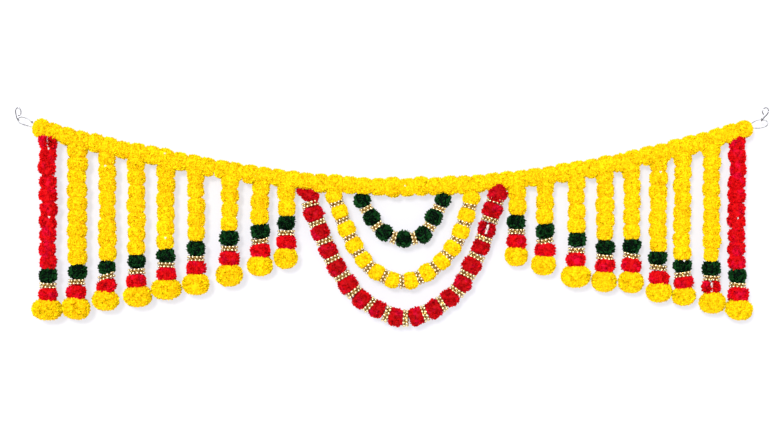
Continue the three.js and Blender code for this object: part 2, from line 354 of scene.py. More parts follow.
def rope_height(x):
    """Height of the rope's middle line at a place along the wall."""
    places = rope_route().places
    return np.interp(x, places[:, 0], places[:, 2])


def middle_of(node):
    low, high = (np.array(corner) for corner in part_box(node))
    return low, high, (low + high) / 2


def around(turn, first, second):
    """Unit vectors at angles, turning from the first of two axes towards the second."""
    return np.cos(turn)[:, None] * first + np.sin(turn)[:, None] * second


def thread_axes(heading, askew, rng):
    """Axes of what sits on a thread, a little askew: its heading, its front and its side."""
    heading = unit(heading + rng.normal(0, askew, 3))
    front = unit(FRONT - heading * (FRONT @ heading))
    return heading, front, np.cross(heading, front)


def seeded(name):
    """Random numbers of a piece's own, the same at every run."""
    return np.random.default_rng([SEED, *name.encode()])


# ---------------------------------------- meshes


class Heap:
    """Gathers the sheets and solids of one piece, each with a cell of its own in the bake's map."""

    def __init__(self):
        self.points, self.faces, self.corners, self.tips, self.tints = [], [], [], [], []
        self.count = 0

    def add(self, points, faces, corners, tips, tint):
        """Adds copies of one mesh: points (copy, point, xyz), and faces and corners of one copy."""
        copies, size = points.shape[:2]
        shift = self.count + size * np.arange(copies)[:, None, None]
        self.points.append(points.reshape(-1, 3))
        self.faces.append((faces[None] + shift).reshape(-1, faces.shape[1]))
        self.corners.append(np.broadcast_to(corners, (copies, *corners.shape)))
        self.tips.append(np.broadcast_to(tips, (copies, size)).reshape(-1))
        self.tints.append(np.repeat(tint, size))
        self.count += copies * size

    def mesh(self, name):
        mesh = bpy.data.meshes.new(name)
        faces = [face for block in self.faces for face in block.tolist()]
        mesh.from_pydata(np.concatenate(self.points), [], faces)
        mesh.shade_smooth()
        for title, values in (("tip", self.tips), ("tint", self.tints)):
            layer = mesh.attributes.new(title, "FLOAT", "POINT")
            layer.data.foreach_set("value", np.concatenate(values).astype(np.float32))
        mesh.uv_layers.new(name="OFBake").data.foreach_set("uv", self.bake_map().ravel())
        mesh.validate()
        return mesh

    def bake_map(self):
        """The corners' places in the map: a square grid of cells with a small margin in each."""
        copies = sum(len(block) for block in self.corners)
        across = int(np.ceil(np.sqrt(copies)))
        margin, done, maps = 0.07, 0, []
        for block in self.corners:
            cells = done + np.arange(len(block))
            base = np.stack((cells % across, cells // across), 1)[:, None, None]
            maps.append(((base + margin + (1 - 2 * margin) * block) / across).reshape(-1, 2))
            done += len(block)
        return np.concatenate(maps).astype(np.float32)


def sheet_faces(rows, columns):
    """Faces and their corners in the unit square for a sheet of rows by columns of points."""
    first = (np.arange(rows - 1)[:, None] * columns + np.arange(columns - 1)).ravel()
    faces = np.stack((first, first + 1, first + 1 + columns, first + columns), 1)
    places = np.stack((faces % columns / (columns - 1), faces // columns / (rows - 1)), -1)
    return faces, places


def ball(segments, rings):
    """A unit ball's points, faces and corners. Each half is laid out as a disc of its own."""
    shape = bmesh.new()
    bmesh.ops.create_uvsphere(shape, u_segments=segments, v_segments=rings, radius=1)
    bmesh.ops.triangulate(shape, faces=shape.faces)
    points = np.array([vertex.co for vertex in shape.verts])
    faces = np.array([[vertex.index for vertex in face.verts] for face in shape.faces])
    shape.free()
    upper = points[faces].mean(1)[:, 2] > 0
    flat = points[faces][:, :, :2] * 0.5 + 0.5
    corners = flat * (0.5, 1) + np.where(upper, 0.5, 0)[:, None, None] * (1, 0)
    return points, faces, corners


def tube(points, radius, sides, ends=4):
    """A round bar with domed ends along points, as a sheet of rings."""
    points = np.asarray(points, float)
    along = unit(np.gradient(points, axis=0))
    across = np.zeros_like(points)
    guide = FRONT if abs(along[0] @ FRONT) < 0.9 else np.array((0.0, 0.0, 1.0))
    for i, way in enumerate(along):
        guide = guide - way * (guide @ way)
        guide = guide / np.linalg.norm(guide)
        across[i] = guide
    dome = np.linspace(np.pi / 2, 0, ends, endpoint=False)[1:]
    start = points[0] - along[0] * radius * np.sin(dome)[:, None]
    finish = points[-1] + along[-1] * radius * np.sin(dome[::-1])[:, None]
    line = np.concatenate((start, points, finish))
    widths = np.concatenate((np.cos(dome), np.ones(len(points)), np.cos(dome[::-1]))) * radius
    more = ((len(dome), len(dome)), (0, 0))
    across, along = (np.pad(axis, more, mode="edge") for axis in (across, along))
    turn = np.linspace(0, 2 * np.pi, sides, endpoint=False)
    ring = around(turn, across[:, None], np.cross(along, across)[:, None])
    return line[:, None] + ring * widths[:, None, None]


def bar_mesh(name, bars):
    """One mesh of several round bars, each given as rings of points, with its ends closed."""
    shape = bmesh.new()
    for rings in bars:
        rows = [[shape.verts.new(point) for point in ring] for ring in rings]
        sides = len(rows[0])
        for row, after in zip(rows, rows[1:], strict=False):
            for k in range(sides):
                shape.faces.new((row[k], row[(k + 1) % sides], after[(k + 1) % sides], after[k]))
        shape.faces.new(rows[0][::-1])
        shape.faces.new(rows[-1])
    bmesh.ops.recalc_face_normals(shape, faces=shape.faces)
    mesh = bpy.data.meshes.new(name)
    shape.to_mesh(mesh)
    shape.free()
    mesh.shade_smooth()
    return mesh


def add_piece(name, mesh, look, slot, *nodes):
    """Adds a piece that stands for CAD nodes; its slot argument is not used."""
    piece = bpy.data.objects.new(name, mesh)
    bpy.context.scene.collection.objects.link(piece)
    mesh.materials.append(look)
    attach(piece, BODY)
    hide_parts(*nodes)


# ---------------------------------------- cloth flowers

# How each cloth is cut and how it shines. point: how far a petal's tip narrows, from 0, round, to
# 1, pointed. ragged: how uneven the petals' lengths are. lumps: how uneven a flower's outline is.
# spacing: how much wider than the usual its petals are spaced. core: the share of a flower's
# radius that the gathered cloth in its middle takes.
YELLOW_CUT = SimpleNamespace(
    slot="yellow_flowers", width="petal_width", spacing=1.0, point=0.10, ragged=0.025, lumps=0.012,
    blush=0.35, shine=0.0, specular=0.12, sheen=0.30, core=0.89,
)
RED_CUT = SimpleNamespace(
    slot="red_flowers", width="petal_width", spacing=1.10, point=0.15, ragged=0.055, lumps=0.080,
    blush=0.45, shine=0.08, specular=0.12, sheen=0.0, core=0.83,
)
GREEN_CUT = SimpleNamespace(
    slot="green_flowers", width="leafy_width", spacing=1.45, point=0.40, ragged=0.080, lumps=0.05,
    blush=0.75, shine=0.20, specular=0.04, sheen=0.0, core=0.80,
)
CLOTHS = {"yellow": YELLOW_CUT, "red": RED_CUT, "deep_red": RED_CUT, "green": GREEN_CUT}

PETAL_ROWS = np.array((0.0, 0.42, 0.78, 1.0))  # shares of a petal's length
PETAL_WIDTHS = np.array((0.25, 0.78, 1.0, 0.70))  # at each row, beside the widest
PETAL_COLUMNS = np.linspace(-1, 1, 5)
PETAL_ROOT = 0.30  # of the way from a flower's middle to a petal's tip, where the petal begins
NARROW_FROM = 0.55  # share of a petal's length where a pointed tip begins
TIP_ARCH = 0.10  # how far a petal's corners are behind the middle of its tip
NOTCH = 0.020  # how uneven the edge of a petal's tip is
CURL_REACH = 0.0150  # a longer petal curls no further sideways than one of this length

# How a flower's petals differ, from the least to the most.
WIDTHS = (0.85, 1.15)
WAVES = (0.6, 1.1)  # of the ruffle, across half a petal
BENDS = (0.08, 0.38)  # how far the tip is bent aside, as a share of the petal's length

ROUNDNESS = 2.1  # 2 is a round outline, more is squarer, and 1 is a diamond
END_ROUNDING = 0.1  # how much of its half length a flat end's rounded edge takes
ALONG_SCATTER = 0.03  # how far a petal is off its even place, as a share of half the flower
ROUND_SCATTER = 0.10  # the same round the flower, in radians
ASKEW = 0.07  # how far a flower leans off its thread
CORE_LUMPS = 0.05  # height of the lumps in the gathered cloth, as a share of its radius
CREASES = 0.024  # the same for its creases
CORE_SPAN = 0.49  # the core's half length, as a share of the flower's length
CORE_TIP = 0.1  # the core's colour, from 0, a petal's root, to 1, its tip: nearly the root colour, which is painted shade
CORE_MESH = (24, 14)  # segments round it and rings along it
UNEVEN_PLACE = 0.0008  # how far a flower sits off its place on the thread
UNEVEN_SIZE = 0.035  # how much a flower's radius differs from its neighbours'


def flower(place, heading, radius, span, cloth, ends):
    """A flower on a thread. ends: how much of its radius it keeps at its first and last end."""
    return SimpleNamespace(
        place=place, heading=heading, radius=radius, span=span, cloth=cloth, ends=ends,
        roundness=ROUNDNESS, gap=0.0, gap_end=1.0,
    )


def flowers_along(route, middles, radius, span, cloth, end, outer=(CLOSED, CLOSED)):
    """Flowers on a thread, at distances along its route. end, outer: how much of its radius a
    flower keeps beside a neighbour, and at the row's own two ends."""
    flowers = [
        flower(route.place(at), route.heading(at), radius, span, cloth, (end, end))
        for at in middles
    ]
    flowers[0].ends, flowers[-1].ends = (outer[0], end), (end, outer[1])
    return flowers


def outline(one, share):
    """A flower's radius at shares, from -1 to 1, of its half length."""
    end = np.where(share < 0, one.ends[0], one.ends[1])
    rim = 1 - END_ROUNDING * end
    swell = 1 - np.minimum(np.abs(share) / rim, 1) ** one.roundness
    belly = end + (1 - end) * swell ** (1 / one.roundness)
    closing = np.clip((np.abs(share) - rim) / np.maximum(1 - rim, 0.001), 0, 1)
    return one.radius * belly * np.sqrt(1 - closing**2)


def clear_of_knots(places):
    """Whether each place is behind the garland's middle or away from every white knot."""
    apart = np.linalg.norm(places[:, None, ::2] - KNOTS, axis=2).min(1)
    return (places[:, 1] > 0) | (apart > KNOT_CLEAR)


def petal_ends(one, axes, rng):
    """Roots and tips of a flower's petals from its middle, each one's share of the way from there
    to the flower's ends, and its way round the thread."""
    cut = CLOTHS[one.cloth]
    heading, front, side = axes
    patch = (sizes().petal_spacing * cut.spacing) ** 2
    count = round(2 * np.pi * one.radius * one.span / patch)
    even = -1 + 2 * (np.arange(count) + 0.5) / count
    share = np.clip(even + rng.normal(0, ALONG_SCATTER, count), -0.995, 0.995)
    turn = np.arange(count) * GOLDEN_TURN + rng.uniform(0, 6) + rng.normal(0, ROUND_SCATTER, count)
    lumps = np.sin(3 * turn + 2 * share + rng.uniform(0, 6)) + np.sin(5 * turn - 3 * share)
    uneven = 1 + cut.lumps * lumps + rng.normal(0, cut.ragged, count)
    reach = np.minimum(outline(one, share) * uneven, one.radius + sizes().proud)
    tip = around(turn, front, side) * reach[:, None] + heading * (share * one.span / 2)[:, None]
    return tip * PETAL_ROOT, tip, share, around(turn, side, -front)


def petal_sheets(one, root, tip, tangent, rng):
    """Points of a flower's ruffled petals, as (petal, row, column, xyz)."""
    cut, count = CLOTHS[one.cloth], len(tip)
    size = np.linalg.norm(tip - root, axis=1)
    stem = (tip - root) / size[:, None]
    level = unit(tangent - stem * (tangent * stem).sum(1, keepdims=True))
    across = around(rng.uniform(0, np.pi, count), level, np.cross(stem, level))
    normal = np.cross(stem, across)

    row = PETAL_ROWS[None, :, None]
    column = PETAL_COLUMNS[None, None, :]
    narrow = 1 - cut.point * np.clip(row - NARROW_FROM, 0, 1) / (1 - NARROW_FROM)
    width = getattr(sizes(), cut.width) / 2 * rng.uniform(*WIDTHS, count)
    spread = width[:, None, None] * PETAL_WIDTHS[None, :, None] * narrow * column
    notch = rng.normal(0, NOTCH, (count, 1, len(PETAL_COLUMNS))) * row**4
    ahead = size[:, None, None] * (row * (1 - TIP_ARCH * row**3 * column**2) + notch)
    phase = rng.uniform(0, 2 * np.pi, count)[:, None, None]
    waves = rng.uniform(*WAVES, count)[:, None, None]
    ruffle = sizes().ruffle * row**2 * np.sin(2 * np.pi * waves * column + phase)
    bend = rng.uniform(*BENDS, count) * rng.choice((-1, 1), count)
    curl = (np.minimum(size, CURL_REACH) * bend)[:, None, None] * row**2.5
    return (
        (one.place + root)[:, None, None]
        + stem[:, None, None] * ahead[..., None]
        + across[:, None, None] * spread[..., None]
        + normal[:, None, None] * (ruffle + curl)[..., None]
    )


def add_petals(heap, one, axes, rng):
    """Adds the petals of one flower, leaving out those where it is parted or a knot shows."""
    root, tip, share, tangent = petal_ends(one, axes, rng)
    points = petal_sheets(one, root, tip, tangent, rng)
    tints = rng.uniform(0, 1, len(tip))
    _, front, side = axes
    parted = (np.abs(tip @ side) < one.gap) & (tip @ front > 0) & (share < one.gap_end)
    kept = clear_of_knots(one.place + tip) & ~parted
    rows, columns = len(PETAL_ROWS), len(PETAL_COLUMNS)
    faces, corners = sheet_faces(rows, columns)
    heap.add(
        points[kept].reshape(-1, rows * columns, 3), faces, corners,
        np.repeat(PETAL_ROWS, columns), tints[kept],
    )


def add_core(heap, one, axes, rng, template):
    """Adds the gathered cloth in the middle of one flower, with its lumps and creases."""
    points, faces, corners = template
    heading, front, side = axes
    waves = np.sin(points[:, 0] * 7 + rng.uniform(0, 6)) * np.cos(points[:, 1] * 6)
    lumps = 1 + CORE_LUMPS * waves + rng.normal(0, CREASES, len(points))
    share = points[:, 2]
    from_thread = np.maximum(np.linalg.norm(points[:, :2], axis=1), 0.001)
    reach = outline(one, share) * CLOTHS[one.cloth].core * lumps / from_thread
    body = points * np.stack((reach, reach, np.full(len(points), one.span * CORE_SPAN)), 1)
    placed = one.place + body @ np.stack((front, side, heading))
    heap.add(placed[None], faces, corners, np.full(len(points), CORE_TIP), rng.uniform(0, 1, 1))


def add_flowers(name, flowers, *nodes):
    """One piece of cloth flowers of one colour, and the thread that shows where one is parted."""
    if not flowers:
        raise RuntimeError(f"{name} has no flowers")
    rng = seeded(name)
    for one in flowers:
        one.place = one.place + rng.normal(0, UNEVEN_PLACE, 3)
        one.radius *= 1 + rng.normal(0, UNEVEN_SIZE)
    if name in PARTED:
        which, gap, gap_end = PARTED[name]
        flowers[which].gap, flowers[which].gap_end = gap, gap_end
        add_wrap(f"{name}_wrap", flowers[which], *nodes)
    heap, template = Heap(), ball(*CORE_MESH)
    for one in flowers:
        axes = thread_axes(one.heading, ASKEW, rng)
        add_petals(heap, one, axes, rng)
        if not one.gap:
            add_core(heap, one, axes, rng, template)
    cloth = flowers[0].cloth
    look = material(f"{cloth}_cloth", cloth_finish, cloth)
    add_piece(name, heap.mesh(name), look, CLOTHS[cloth].slot, *nodes)


# ---------------------------------------- bead rings

# The gilt spool under a ring's beads, round its bore: along the thread as shares of the bead
# rows' spacing, and out from the thread as shares of the ring's radius.
SPOOL = np.array((
    (-0.70, 0.40), (-0.72, 0.74), (-0.52, 0.82), (-0.34, 0.76), (-0.22, 0.60), (0.22, 0.60),
    (0.34, 0.76), (0.52, 0.82), (0.72, 0.74), (0.70, 0.40), (0.0, 0.34), (-0.70, 0.40),
))
SPOOL_SIDES = 25
SPOOL_SHADED = 0.45  # of the ring's radius: painted shade darkens the spool's gilt as far out as this
SEED_REACH = 0.68  # of the ring's radius, to the middle of a small bead
RING_ASKEW = 0.045  # how far a ring leans off its thread
BEAD_SCATTER = 0.06  # how far a bead is off its even place, as a share of its radius
BEAD_MESH = (12, 8)  # segments round it and rings along it
SEED_MESH = (8, 6)


def add_spool(heap, place, axes, radius, rng):
    """Adds the spool of one bead ring."""
    heading, front, side = axes
    spoke = around(np.linspace(0, 2 * np.pi, SPOOL_SIDES), front, side)
    along, out = SPOOL[:, :1, None] * sizes().bead_rows, SPOOL[:, 1:, None] * radius
    points = place + along * heading + out * spoke
    faces, corners = sheet_faces(len(SPOOL), SPOOL_SIDES)
    # Painted shade: the spool's gilt is dark near the bore and between the bead rows.
    gilt = np.repeat(SPOOL[:, 1] - SPOOL_SHADED, SPOOL_SIDES)
    heap.add(points.reshape(1, -1, 3), faces, corners, gilt, rng.uniform(0, 1, 1))


def add_bead_ring(heap, place, heading, radius, rng, bead, seed):
    """Adds a double row of gilt beads on a spool, with a row of seeds between, round its thread."""
    heading, front, side = thread_axes(heading, RING_ASKEW, rng)
    add_spool(heap, place, (heading, front, side), radius, rng)
    big, small, apart = sizes().bead / 2, sizes().seed / 2, sizes().bead_rows / 2
    count = round(sizes().ring_beads * radius / RING_RADIUS)
    start = rng.uniform(0, 1)
    # Each row's mesh, a bead's radius, how far out and along it is, its turn in beads and its gilt:
    # the share of bright gilt its outer side may reach, the rest being painted shade.
    rows = (
        (bead, big, radius - big, -apart, 0.0, 1),
        (bead, big, radius - big, apart, 0.35, 1),
        (seed, small, radius * SEED_REACH, 0.0, 0.25, 0.5),
    )
    for (points, faces, corners), size, reach, offset, shift, gilt in rows:
        turn = 2 * np.pi * (np.arange(count) + start + shift) / count
        spoke = around(turn, front, side)
        middle = place + spoke * reach + heading * offset
        middle = middle + rng.normal(0, size * BEAD_SCATTER, middle.shape)
        axes = (spoke, np.cross(spoke, heading), np.broadcast_to(heading, spoke.shape))
        placed = middle[:, None] + np.einsum("pk,nkj->npj", points * size, np.stack(axes, 1))
        # Painted shade: a bead darkens on its side towards the thread.
        tips = np.clip(0.5 + points[:, 0] * 0.5, 0, 1) * gilt
        heap.add(placed, faces, corners, tips, rng.uniform(0, 1, count))


def add_rings(name, rings, *nodes):
    """One piece of bead rings, each given as (place, heading, radius)."""
    rng = seeded(name)
    heap, bead, seed = Heap(), ball(*BEAD_MESH), ball(*SEED_MESH)
    for place, heading, radius in rings:
        add_bead_ring(heap, place, heading, radius, rng, bead, seed)
    add_piece(name, heap.mesh(name), material("gilt_beads", gilt_finish), "gold_beads", *nodes)


# ---------------------------------------- threads and knots

PLIES = 2
PLY = 0.52  # a ply's radius, as a share of the thread's
PLY_TURN = 4  # a ply goes once round in this many thread diameters
THREAD_SIDES = 6
THREAD_STEP = 0.004  # between the points of a swag's thread
STRAND_STEPS = (40, 20)  # points of a strand's thread, down to its tassel and on into the head

# Thread wound where a parted flower shows it.
WRAP_WIRE = 0.0006  # its radius
WRAP_SPAN = 0.62  # how much of the flower's length it takes
WRAP_DEPTH = 0.55  # share of the flower's radius, from its middle to the front
WRAP_REACH = 0.75  # share of half the gap's width, from the middle of the wound thread out
WRAP_PITCH = 2.1  # from one turn to the next, in radii of the thread
WRAP_STEPS = 12  # points in a turn


def add_yarn(name, bars, ink_name, *nodes):
    """One piece of bars of thread in one of the garland's colours."""
    look = material(f"{ink_name}_yarn", yarn_finish, ink_name)
    add_piece(name, bar_mesh(name, bars), look, "cord", *nodes)


def add_thread(name, points, *nodes):
    """One piece of white twisted thread along points of the garland's plane."""
    points = np.asarray(points, float)
    radius = sizes().thread / 2
    ply = radius * PLY
    sideways = np.cross(unit(np.gradient(points, axis=0)), FRONT)
    bars = []
    for k in range(PLIES):
        turn = 2 * np.pi * (walked(points) / (sizes().thread * PLY_TURN) + k / PLIES)
        line = points + around(turn, FRONT, sideways) * (radius - ply)
        bars.append(tube(line, ply, THREAD_SIDES, ends=2))
    add_yarn(name, bars, "thread", *nodes)


def add_wrap(name, one, *nodes):
    """One piece of white thread wound where a parted flower's petals show it."""
    reach, span = max(one.gap * WRAP_REACH, WRAP_WIRE * 2), one.span * WRAP_SPAN
    turns = round(span / (WRAP_WIRE * WRAP_PITCH))
    share = np.linspace(-0.5, 0.5, turns * WRAP_STEPS)
    middle = one.place + FRONT * one.radius * WRAP_DEPTH
    coil = around(2 * np.pi * turns * share, FRONT, np.cross(one.heading, FRONT)) * reach
    points = middle + one.heading * (share * span)[:, None] + coil
    add_yarn(name, [tube(points, WRAP_WIRE, THREAD_SIDES)], "thread", *nodes)


TREFOIL_WIDTH = 6  # of the trefoil line that a knot is tied along
KNOT_THREAD = 0.11  # radius of a knot's thread, as a share of its size


def knot(place):
    """A knot's tube at a place, tied as a trefoil."""
    turn = np.linspace(0, 2 * np.pi, 49)
    x = np.sin(turn) + 2 * np.sin(2 * turn)
    z = np.cos(turn) - 2 * np.cos(2 * turn)
    line = np.stack((x, -np.sin(3 * turn), z), 1)
    line = np.array(place) + line * (KNOT_SIZE / TREFOIL_WIDTH)
    return tube(line, KNOT_SIZE * KNOT_THREAD, THREAD_SIDES)


# ---------------------------------------- materials


def set_node(tree, node, **values):
    """Sets a node's settings and sockets by name, each socket to a value or to a link."""
    for key, value in values.items():
        if hasattr(node, key):
            setattr(node, key, value)
            continue
        title = key.replace("_", " ")
        socket = next(s for s in node.inputs if s.identifier == key or s.name == title)
        if isinstance(value, bpy.types.NodeSocket):
            tree.links.new(value, socket)
        else:
            socket.default_value = value
    return node


def add_node(tree, kind, **values):
    return set_node(tree, tree.nodes.new(kind), **values)


def math_node(tree, operation, *values):
    """The result of a Math node on values, each a number or a link."""
    given = dict(zip(("Value", "Value_001", "Value_002"), values, strict=False))
    return add_node(tree, "ShaderNodeMath", operation=operation, **given).outputs[0]


def scaled(tree, value, factor, offset):
    return math_node(tree, "MULTIPLY_ADD", value, factor, offset)


def blend(tree, share, first, second):
    """Mixes two colours by a share."""
    return add_node(
        tree, "ShaderNodeMix", data_type="RGBA", Factor_Float=share, A_Color=first, B_Color=second
    ).outputs[2]


def ramp(tree, value, low, high):
    """A share that goes smoothly from 0 to 1 as a value goes from low to high."""
    return add_node(
        tree, "ShaderNodeMapRange", interpolation_type="SMOOTHSTEP", Value=value, From_Min=low,
        From_Max=high,
    ).outputs["Result"]


def noise(tree, scale, detail):
    """Noise in the piece's own space, with scale in features per metre."""
    places = tree.nodes.new("ShaderNodeTexCoord").outputs["Object"]
    node = add_node(tree, "ShaderNodeTexNoise", Vector=places, Scale=scale, Detail=detail)
    return node.outputs["Fac"]


def own_value(tree, name):
    """A value that the mesh holds at each of its points."""
    return add_node(tree, "ShaderNodeAttribute", attribute_name=name).outputs["Fac"]


def surface_group(name, **inputs):
    """A new node group for a surface: the group, the values it is given and its output node."""
    group = bpy.data.node_groups.new(name, "ShaderNodeTree")
    kinds = {tuple: "NodeSocketColor", float: "NodeSocketFloat"}
    for title, default in inputs.items():
        socket = group.interface.new_socket(
            title.replace("_", " "), in_out="INPUT", socket_type=kinds[type(default)]
        )
        socket.default_value = default
    for title, kind in (("Colour", tuple), ("Roughness", float), ("Height", float)):
        group.interface.new_socket(title, in_out="OUTPUT", socket_type=kinds[kind])
    into, out = (group.nodes.new(kind) for kind in ("NodeGroupInput", "NodeGroupOutput"))
    return group, into.outputs, out


def petal_cloth(name):
    """Crinkled cloth: its colour goes from a petal's root, in painted shade, to its tip, with
    patches of blush that on red are partly a painted sheen.
    """
    group, given, out = surface_group(
        name, Tip=(1, 1, 1, 1), Root=(0, 0, 0, 1), Blush=(1, 0, 0, 1), Blush_Share=0.0, Shine=0.0
    )
    # Painted shade: a petal takes the root colour near the thread and the tip colour towards its
    # tip.
    root_shade_to_tip = ramp(group, own_value(group, "tip"), 0.35, 0.95)
    base = blend(group, root_shade_to_tip, given["Root"], given["Tip"])
    patches = ramp(group, noise(group, 55, 2), 0.50, 0.68)
    share = math_node(group, "MULTIPLY", patches, given["Blush Share"])
    blushed = blend(group, share, base, given["Blush"])
    petal_tint = scaled(group, own_value(group, "tint"), 0.12, 0.91)
    fibres = scaled(group, noise(group, 1400, 4), 0.16, 0.92)
    light = math_node(group, "MULTIPLY", petal_tint, fibres)
    shade = add_node(group, "ShaderNodeHueSaturation", Color=blushed, Value=light)
    dull = scaled(group, noise(group, 700, 3), 0.25, 0.72)
    folds = scaled(group, noise(group, 1800, 3), 0.35, 0.0)
    set_node(
        group, out, Colour=shade.outputs["Color"],
        Roughness=math_node(group, "SUBTRACT", dull, given["Shine"]),
        Height=math_node(group, "ADD", noise(group, 420, 2), folds),
    )
    return group


def worn_gilt(name):
    """Plating that is bright on the outside of a bead and darker and browner towards the ring:
    painted shade, broken up by random spots.
    """
    group, given, out = surface_group(name, Bright=(1, 1, 1, 1), Dull=(0, 0, 0, 1))
    # Painted shade where the tip value falls, towards the ring; the noise adds random spots.
    spots = scaled(group, noise(group, 900, 3), 0.5, -0.25)
    painted_light_share = ramp(group, math_node(group, "ADD", own_value(group, "tip"), spots), 0.40, 0.95)
    set_node(
        group, out, Colour=blend(group, painted_light_share, given["Dull"], given["Bright"]),
        Roughness=scaled(group, noise(group, 1200, 3), 0.22, 0.16),
        Height=noise(group, 2200, 2),
    )
    return group


def mottle(name):
    """Dark and bright patches of a colour, with a finer grain in the roughness and the height."""
    group, given, out = surface_group(
        name, Dull=(0, 0, 0, 1), Bright=(1, 1, 1, 1), Patches=100.0, Patch_Detail=2.0,
        Patch_Start=0.3, Patch_End=0.7, Grain=1000.0, Grain_Detail=2.0, Grain_Range=0.2,
        Smoothest=0.1, Bumps=2000.0,
    )
    patches = noise(group, given["Patches"], given["Patch Detail"])
    share = ramp(group, patches, given["Patch Start"], given["Patch End"])
    grain = noise(group, given["Grain"], given["Grain Detail"])
    set_node(
        group, out, Colour=blend(group, share, given["Dull"], given["Bright"]),
        Roughness=scaled(group, grain, given["Grain Range"], given["Smoothest"]),
        Height=noise(group, given["Bumps"], 2),
    )
    return group


def add_surface(tree, build, **values):
    """The outputs of a surface group in a material. The first use builds the group."""
    group = bpy.data.node_groups.get(build.__name__) or build(build.__name__)
    return add_node(tree, "ShaderNodeGroup", node_tree=group, **values).outputs


def join(tree, shader, surface, **values):
    """Joins a surface's colour and roughness to a shader, and sets the shader's own values."""
    set_node(tree, shader, Base_Color=surface["Colour"], Roughness=surface["Roughness"], **values)


def bumps(tree, surface, strength, depth):
    """A normal that follows a surface's height."""
    return add_node(
        tree, "ShaderNodeBump", Height=surface["Height"], Strength=strength, Distance=depth
    ).outputs["Normal"]


def material(name, finish, *details):
    """The material of a name. The first use makes it and gives it its finish."""
    if name not in bpy.data.materials:
        made = bpy.data.materials.new(name)
        made.use_nodes = True
        finish(made.node_tree, made.node_tree.nodes["Principled BSDF"], *details)
    return bpy.data.materials[name]


def cloth_finish(tree, shader, cloth):
    inks, cut = colours(), CLOTHS[cloth]
    tip, root = getattr(inks, f"{cloth}_tip"), getattr(inks, f"{cloth}_root")
    # For yellow and green, the patches take the root colour, which is painted shade.
    blush = inks.blush if cut is RED_CUT else root
    surface = add_surface(
        tree, petal_cloth, Tip=(*tip, 1), Root=(*root, 1), Blush=(*blush, 1),
        Blush_Share=cut.blush, Shine=cut.shine,
    )
    join(
        tree, shader, surface, Normal=bumps(tree, surface, strength=0.5, depth=0.0004),
        Specular_IOR_Level=cut.specular, Sheen_Weight=cut.sheen, Sheen_Tint=(*tip, 1),
    )


def gilt_finish(tree, shader):
    inks = colours()
    surface = add_surface(tree, worn_gilt, Bright=(*inks.gilt, 1), Dull=(*inks.gilt_shade, 1))
    normal = bumps(tree, surface, strength=0.5, depth=0.0001)
    join(tree, shader, surface, Normal=normal, Metallic=1.0)


def yarn_finish(tree, shader, ink_name):
    """Twisted thread of one of the garland's colours."""
    ink = np.array(getattr(colours(), ink_name))
    surface = add_surface(
        tree, mottle, Dull=(*ink * 0.8, 1), Bright=(*ink, 1), Patches=1500, Patch_Detail=4,
        Grain=2500, Smoothest=0.7, Bumps=3500,
    )
    normal = bumps(tree, surface, strength=0.4, depth=0.0002)
    join(tree, shader, surface, Normal=normal, Specular_IOR_Level=0.3)


def steel_finish(tree, shader):
    inks = colours()
    # Painted reflection: dark patches on the wire, in place of the dark surroundings it mirrors.
    surface = add_surface(
        tree, mottle, Dull=(*inks.steel_shade, 1), Bright=(*inks.steel, 1), Patches=220,
        Patch_Start=0.38, Patch_End=0.66, Grain=1600, Grain_Detail=3, Grain_Range=0.18,
        Smoothest=0.14, Bumps=2600,
    )
    normal = bumps(tree, surface, strength=0.2, depth=0.0001)
    join(tree, shader, surface, Normal=normal, Metallic=1.0)


def clear_finish(tree, shader):
    inks = colours()
    surface = add_surface(
        tree, mottle, Dull=(*inks.clear_haze, 1), Bright=(*inks.clear, 1), Patches=200,
        Patch_Start=0.40, Patch_End=0.62, Grain=1200, Grain_Range=0.12, Smoothest=0.08,
    )
    join(tree, shader, surface, Transmission_Weight=0.35, IOR=1.5)


def paint(tree, shader, ink, shade, patches, **values):
    """Matt paint with faint patches of a shade of its colour."""
    dull, bright = (*np.array(ink) * shade, 1), (*ink, 1)
    surface = add_surface(tree, mottle, Dull=dull, Bright=bright, Patches=patches, Patch_Detail=3)
    set_node(tree, shader, Base_Color=surface["Colour"], **values)


def wall_finish(tree, shader):
    """Paint that light and sight pass from behind, so that the garland's back is in view."""
    paint(
        tree, shader, colours().wall, shade=0.99, patches=3, Roughness=0.9,
        Specular_IOR_Level=0.0, Emission_Color=(*colours().wall_glow, 1), Emission_Strength=1.0,
    )
    behind = tree.nodes.new("ShaderNodeNewGeometry").outputs["Backfacing"]
    shadow = tree.nodes.new("ShaderNodeLightPath").outputs["Is Shadow Ray"]
    mix = add_node(
        tree, "ShaderNodeMixShader", Fac=math_node(tree, "MAXIMUM", behind, shadow),
        Shader=shader.outputs[0],
        Shader_001=tree.nodes.new("ShaderNodeBsdfTransparent").outputs[0],
    )
    set_node(tree, tree.nodes["Material Output"], Surface=mix.outputs[0])


def floor_finish(tree, shader):
    paint(
        tree, shader, colours().floor, shade=0.98, patches=2, Roughness=0.85,
        Specular_IOR_Level=0.1,
    )


# ---------------------------------------- operators


class GARLAND_OT_camera(Operator):
    """Set the camera at the photograph's place and width of view"""

    bl_idname = "garland.camera"
    bl_label = "Camera"

    def execute(self, context):
        lens = bpy.data.cameras.new("camera")
        lens.lens = lens.sensor_width * CAMERA_DISTANCE / (PHOTO_PIXELS[0] * PIXEL_SIZE)
        camera = bpy.data.objects.new("camera", lens)
        middle = [size / 2 - seat for size, seat in zip(PHOTO_PIXELS, SEAT_PIXEL, strict=True)]
        camera.location = (middle[0] * PIXEL_SIZE, -CAMERA_DISTANCE, -middle[1] * PIXEL_SIZE)
        camera.rotation_euler = (np.pi / 2, 0, 0)
        lens.clip_end = 100
        context.scene.collection.objects.link(camera)
        context.scene.camera = camera
        return {"FINISHED"}


